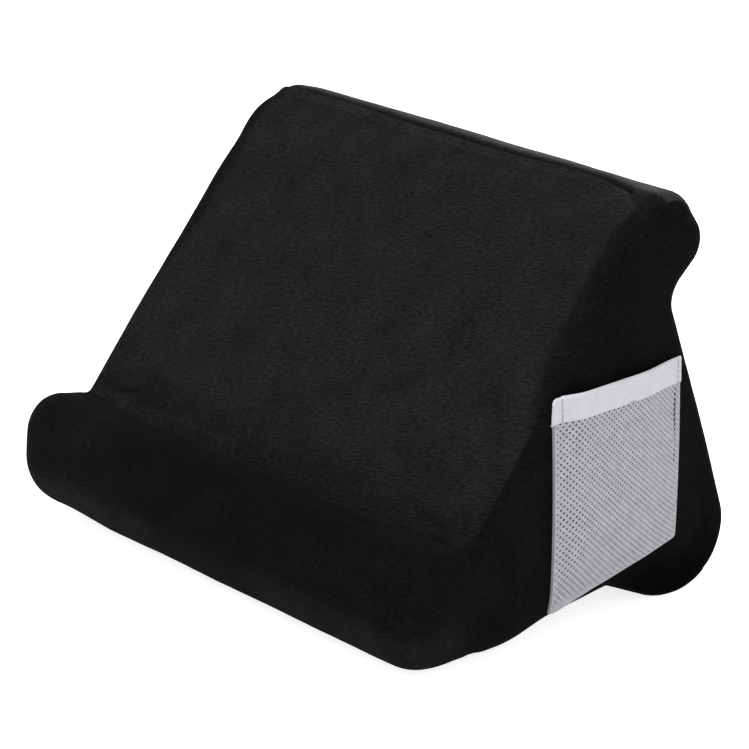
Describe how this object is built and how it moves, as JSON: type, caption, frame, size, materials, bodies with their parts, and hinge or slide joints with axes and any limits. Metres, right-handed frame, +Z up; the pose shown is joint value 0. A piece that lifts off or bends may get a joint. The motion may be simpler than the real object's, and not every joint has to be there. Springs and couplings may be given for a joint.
{
  "type": "cushion tablet stand",
  "caption": "Soft three-lobed cushion stand that holds a tablet against its slope behind a padded lip, with a net side pocket and a zipped cover.",
  "frame": {"origin": "middle of the bottom of the bounding box, on the surface the stand rests on", "axes": "+X along the width towards the end with the pocket, -Y towards the front with the lip, +Z up"},
  "size_m": [0.3021, 0.2186, 0.204],
  "materials": {
    "plush": "matte short-pile black plush",
    "foam": "open-cell polyurethane foam, matte",
    "net": "light grey polyester net",
    "band": "light grey woven band, matte",
    "binding": "turned edge of the net, matte",
    "zip_tape": "black woven tape",
    "zip_coil": "black nylon, semi-gloss",
    "die_cast": "black enamelled zinc, satin",
    "thread": "black polyester thread"
  },
  "bodies": {
    "cushion": {"front_panel": "plush", "back_panel": "plush", "bottom_panel": "plush", "right_end_panel": "plush", "left_end_panel": "plush", "foam_core": "foam", "pocket_net": "net", "pocket_top_band": "band", "pocket_front_binding": "binding", "pocket_rear_binding": "binding", "pocket_bottom_binding": "binding", "zip_tape_upper": "zip_tape", "zip_tape_lower": "zip_tape", "zip_coil_upper": "zip_coil", "zip_coil_lower": "zip_coil", "zip_end_tack_closed": "thread", "zip_end_tack_open": "thread"},
    "slider": {"zip_slider": "die_cast"},
    "pull_tab": {"zip_pull_tab": "die_cast"}
  },
  "joints": [
    {"name": "zip_slide", "type": "slide", "parent": "cushion", "child": "slider", "axis": [1, 0, 0], "range_m": [-0.199, 0]},
    {"name": "pull_tab_hinge", "type": "hinge", "parent": "slider", "child": "pull_tab", "pos_m": [0.09595, 0.10392, 0.05531], "axis": [0, 0.3283, -0.9446], "range_deg": [0, 165]}
  ]
}
